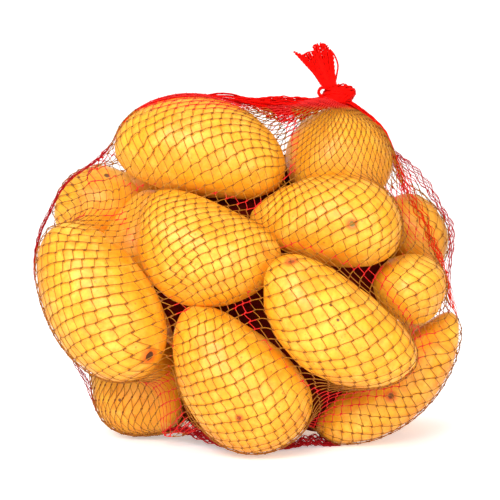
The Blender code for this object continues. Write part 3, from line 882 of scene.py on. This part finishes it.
# the gathered net that runs under the heap from one bottom potato to the next
bundle("net_under_left", [(166, 430.5, 4, 0.6, 3), (176, 429, 2, 1.0, 4), (186, 430.5, -2, 1.6, 4), (198, 434, -8, 2.0, 4),
                          (212, 439.5, -14, 1.8, 4), (226, 444.5, -18, 1.2, 3), (238, 447.5, -20, 0.8, 2)],
       26, 44, 0.24, 34, zig=0.5, turns=7, fray=(0.15, 0.15), mat=LOOSE)
bundle("net_under_right", [(276, 449, -20, 0.7, 2), (290, 446, -16, 1.2, 3), (303, 441, -12, 2.2, 4), (316, 440, -8, 2.4, 4),
                           (328, 443.5, -6, 1.4, 4), (342, 446.5, -6, 0.8, 3)],
       26, 44, 0.24, 35, zig=0.5, turns=7, fray=(0.15, 0.15), mat=LOOSE)


def knot_blob():
    rings, around = 40, 72
    th = np.linspace(0, math.pi, rings + 1)[1:-1][:, None]
    ph = (np.arange(around) * 2 * math.pi / around)[None, :]
    ridge = 1 + 0.09 * np.sin(2 * ph + 3.4 * th) * np.sin(th) + 0.03 * np.sin(9 * ph + 5 * th) * np.sin(th)
    x = ridge * np.sin(th) * np.cos(ph)
    y = ridge * np.sin(th) * np.sin(ph)
    z = -np.cos(th) * (1 + 0.02 * np.sin(7 * ph)) + 0 * ph
    return x, y, z


KNOT_HALF = np.array([9.6, 7.4, 6.3])


def knot_point(q):
    """Unit ball to the knot."""
    t = math.radians(14)
    x, y, z = q[..., 0] * KNOT_HALF[0], q[..., 1] * KNOT_HALF[1], q[..., 2] * KNOT_HALF[2]
    c = at_pixel(338, 96, 27)
    return np.stack([c[0] + x * math.cos(t) - z * math.sin(t), c[1] + y, c[2] + x * math.sin(t) + z * math.cos(t)], -1)


bx, by, bz = knot_blob()
ring = knot_point(np.stack([bx, by, bz], -1) * 0.93)
kv = ring.reshape(-1, 3).tolist() + [knot_point(np.array([0, 0, -0.93])).tolist(), knot_point(np.array([0, 0, 0.93])).tolist()]
rn, an = bx.shape
kf = [[i * an + k, i * an + (k + 1) % an, (i + 1) * an + (k + 1) % an, (i + 1) * an + k] for i in range(rn - 1) for k in range(an)]
kf += [[rn * an, (k + 1) % an, k] for k in range(an)] + [[rn * an + 1, (rn - 1) * an + k, (rn - 1) * an + (k + 1) % an] for k in range(an)]
finish_piece(new_mesh("net_knot_heart", kv, kf, RED))


def wound(count, m, seed):
    """Threads wound over the knot in two sweeping turns."""
    rng = np.random.RandomState(seed)
    out = []
    for k in range(count):
        f = k / count
        tilt = 0.45 if k % 3 else -0.55
        tilt += rng.normal(0, 0.10)
        off = rng.uniform(-0.85, 0.85)
        r = math.sqrt(1 - off * off)
        a0 = rng.uniform(0, 2 * math.pi)
        a = a0 + np.linspace(0, rng.uniform(2.2, 5.5), m)
        n = np.array([math.sin(tilt), 0.25 * rng.normal(0, 0.6), math.cos(tilt)])
        n /= np.linalg.norm(n)
        p = np.cross(n, [0, 1, 0])
        p /= np.linalg.norm(p)
        q = np.cross(n, p)
        pts = off * n + r * (np.cos(a)[:, None] * p + np.sin(a)[:, None] * q)
        pts *= (1.0 + 0.05 * np.sin(2 * a + 3 * off) + rng.uniform(-0.03, 0.05))[:, None]
        out.append(knot_point(pts))
    return np.array(out)


P = wound(90, 34, 31)
N = P - at_pixel(338, 96, 27)
N /= np.linalg.norm(N, axis=2, keepdims=True)
finish_piece(tube_piece("net_knot_threads", P, np.full(P.shape[:2], 0.46), N, 5, RED))

# small loop at the knot's left
bundle("net_knot_loop", [(329, 99, 24, 1.2, 1.5), (322, 97, 22, 1.0, 1.3), (318.5, 93, 21, 0.8, 1.2), (320, 88.5, 22, 0.8, 1.2),
                         (325, 87.5, 24, 0.9, 1.2), (330, 91, 26, 1.2, 1.5)], 12, 24, 0.40, 25, hold=False)

# tail: the cut end, flared, left tip, upper lobe and a loose loop at the right
TAIL_FOOT = [(323, 87), (326, 86.5), (329, 86), (332, 86), (336, 87)]
TAIL_WAIST = [(314, 74), (319, 73), (324, 72), (329, 72), (334.5, 73)]
TAIL_TOP = [(294, 51.5), (302, 55), (307, 52), (314, 50.5), (313, 45), (319, 42.5), (326, 44.5), (329, 49), (333, 56)]


def along_points(pts, f):
    pts = np.array(pts, float)
    d = np.concatenate([[0], np.cumsum(np.linalg.norm(np.diff(pts, axis=0), axis=1))])
    return np.stack([np.interp(f * d[-1], d, pts[:, 0]), np.interp(f * d[-1], d, pts[:, 1])], -1)


def tail(count, m, seed):
    rng = np.random.RandomState(seed)
    out = []
    for k in range(count):
        f = np.clip((k % (count // 2)) / (count // 2 - 1) + rng.normal(0, 0.015), 0, 1)
        back = 1 if k < count // 2 else -1
        a, b, c = along_points(TAIL_FOOT, f), along_points(TAIL_WAIST, f), along_points(TAIL_TOP, f)
        ruffle = 2.6 * math.sin(9 * f + 0.6) + back * 0.9
        cut = 1.0 if rng.uniform() < 0.75 else rng.uniform(0.86, 1.0)
        way = [(*knot_mid_px, 27), (a[0], a[1], 27 + back * 1.3), (b[0], b[1], 28 + 0.5 * ruffle + back), (0.5 * (b[0] + c[0]), 0.5 * (b[1] + c[1]), 30 + 0.9 * ruffle),
               (c[0], c[1], 31 + 1.2 * ruffle)]
        w = np.array([at_pixel(*q) for q in way])
        path = smooth_path(w[:, None, :], m)[:, 0]
        s = np.linspace(0, 1, m)
        tri = np.abs(np.mod(s * 8 + 0.5 * (k % 2), 1) - 0.5) * 4 - 1
        sidev = np.array([0.85, 0, 0.5])
        path = path + sidev * (0.45 * tri * s)[:, None]
        end = path[0] + 0
        out.append(path[: max(int(m * cut), 4)] if cut < 1 else path)
    res = []
    for path in out:
        t = np.linspace(0, len(path) - 1, m)
        i = np.minimum(np.floor(t).astype(int), len(path) - 2)
        fr = (t - i)[:, None]
        res.append(path[i] * (1 - fr) + path[i + 1] * fr)
    return np.array(res)


knot_mid_px = (332, 93)
P = tail(96, 34, 33)
N = np.repeat(np.repeat(SIDEWAYS[None, None], P.shape[0], 0), P.shape[1], 1)
finish_piece(tube_piece("net_tail", P, np.full(P.shape[:2], 0.40), N, 5, RED))
bundle("net_tail_loop", [(335, 84, 28, 0.5, 0.6), (337, 74, 29, 0.4, 0.6), (338, 65, 30, 0.4, 0.6), (335, 56, 31, 0.4, 0.6),
                         (330, 49, 31, 0.5, 0.6)], 3, 24, 0.34, 27, hold=False)

# ---------------------------------------------------------------- painted shade: a dark core deep in the heap
# near-black red, painted shade for the unlit inside of the heap
PAINTED_SHADE_MAT, nt, bsdf = nodes_of("heap_painted_shade")
tc = nt.nodes.new("ShaderNodeTexCoord")
nt.links.new(ramp(nt, noise(nt, tc.outputs["Object"], 60, 3, 0.6), [(0.3, (0.05, 0.003, 0.002)), (0.7, (0.13, 0.007, 0.003))]), bsdf.inputs["Base Color"])
bsdf.inputs["Roughness"].default_value = 0.9
bsdf.inputs["Specular IOR Level"].default_value = 0.0
hv0, hf = icosphere(5)
shade_core = np.array(SHADE_CORE_AT) + hv0 * np.array(SHADE_CORE_HALF) * (1 + 0.06 * np.cos(hv0 @ np.array([[2.1, 3.0, 1.7], [-2.4, 1.1, 3.3]]).T + (0.4, 1.9)).sum(-1))[:, None]
shade_core[:, 2] = np.maximum(shade_core[:, 2], 3.0)
finish_piece(new_mesh("heap_painted_shade", shade_core, hf, PAINTED_SHADE_MAT))
# and painted shade low down, as dark pieces behind the gaps either side of the bottom potato, and below the two top
# ones
for name, at, half_size in (("heap_painted_shade_low_left", (-24, 6, 24), (15, 10, 19)), ("heap_painted_shade_low_right", (40, 10, 28), (24, 13, 23)),
                            ("heap_painted_shade_crown", (24.4, 42, 156.0), (8, 8, 10))):
    low = np.array(at) + hv0 * np.array(half_size)
    low[:, 2] = np.maximum(low[:, 2], 3.0)
    finish_piece(new_mesh(name, low, hf, PAINTED_SHADE_MAT))
# a small potato deep behind the left shoulder's gap, its skin darkened by half towards brown as painted shade
finish_piece(new_mesh("potato_small", np.array((-63, 46, 146)) + hv0 * np.array((18.5, 9, 10.5)), hf,
                      potato_material("potato_skin_small", (8.1, 2.4, 5.0), (), 0.5)))

# ---------------------------------------------------------------- floor, backdrop, light
floor_mat, nt, bsdf = nodes_of("floor_white")
bsdf.inputs["Base Color"].default_value = (0.88, 0.88, 0.88, 1)
bsdf.inputs["Emission Color"].default_value = (1, 1, 1, 1)
bsdf.inputs["Emission Strength"].default_value = 0.38
bsdf.inputs["Roughness"].default_value = 0.75
bsdf.inputs["Specular IOR Level"].default_value = 0.2
prof = []
y0, r = 2.5, 0.5
for k in range(25):
    ang = math.pi / 2 * k / 24
    prof.append((y0 + r * math.sin(ang), r * (1 - math.cos(ang))))
prof = [(-2.2, 0.0), (-0.6, 0.0)] + prof + [(y0 + r, 2.4)]
sv, sf = [], []
for y, z in prof:
    sv += [(-3.0, y, z), (3.0, y, z)]
for k in range(len(prof) - 1):
    sf.append((2 * k, 2 * k + 1, 2 * k + 3, 2 * k + 2))
me = bpy.data.meshes.new("floor")
me.from_pydata(sv, [], sf)
me.shade_smooth()
me.materials.append(floor_mat)
floor = bpy.data.objects.new("floor", me)
bpy.context.scene.collection.objects.link(floor)

world = bpy.data.worlds.new("studio")
bpy.context.scene.world = world
world.use_nodes = True
world.node_tree.nodes["Background"].inputs["Color"].default_value = (1, 1, 1, 1)
world.node_tree.nodes["Background"].inputs["Strength"].default_value = 0.68


def area(name, where, aim, size, power, colour=(1, 1, 1)):
    data = bpy.data.lights.new(name, 'AREA')
    data.shape = 'RECTANGLE'
    data.size, data.size_y = size
    data.energy = power
    data.color = colour
    ob = bpy.data.objects.new(name, data)
    ob.location = where
    ob.rotation_euler = (Vector(aim) - Vector(where)).to_track_quat('-Z', 'Y').to_euler()
    bpy.context.scene.collection.objects.link(ob)
    return ob


area("key", (-0.38, -1.10, 0.80), (0, 0, 0.1), (0.7, 0.6), 17)
area("fill", (0.60, -1.20, 0.40), (0, 0, 0.1), (0.8, 0.8), 6)
area("top", (0.0, 0.1, 1.3), (0, 0, 0.1), (1.0, 1.0), 3)

scene = bpy.context.scene
scene.view_settings.view_transform = 'Standard'
scene.view_settings.look = 'None'
scene.view_settings.exposure = 0.0
scene.view_settings.gamma = 1.0
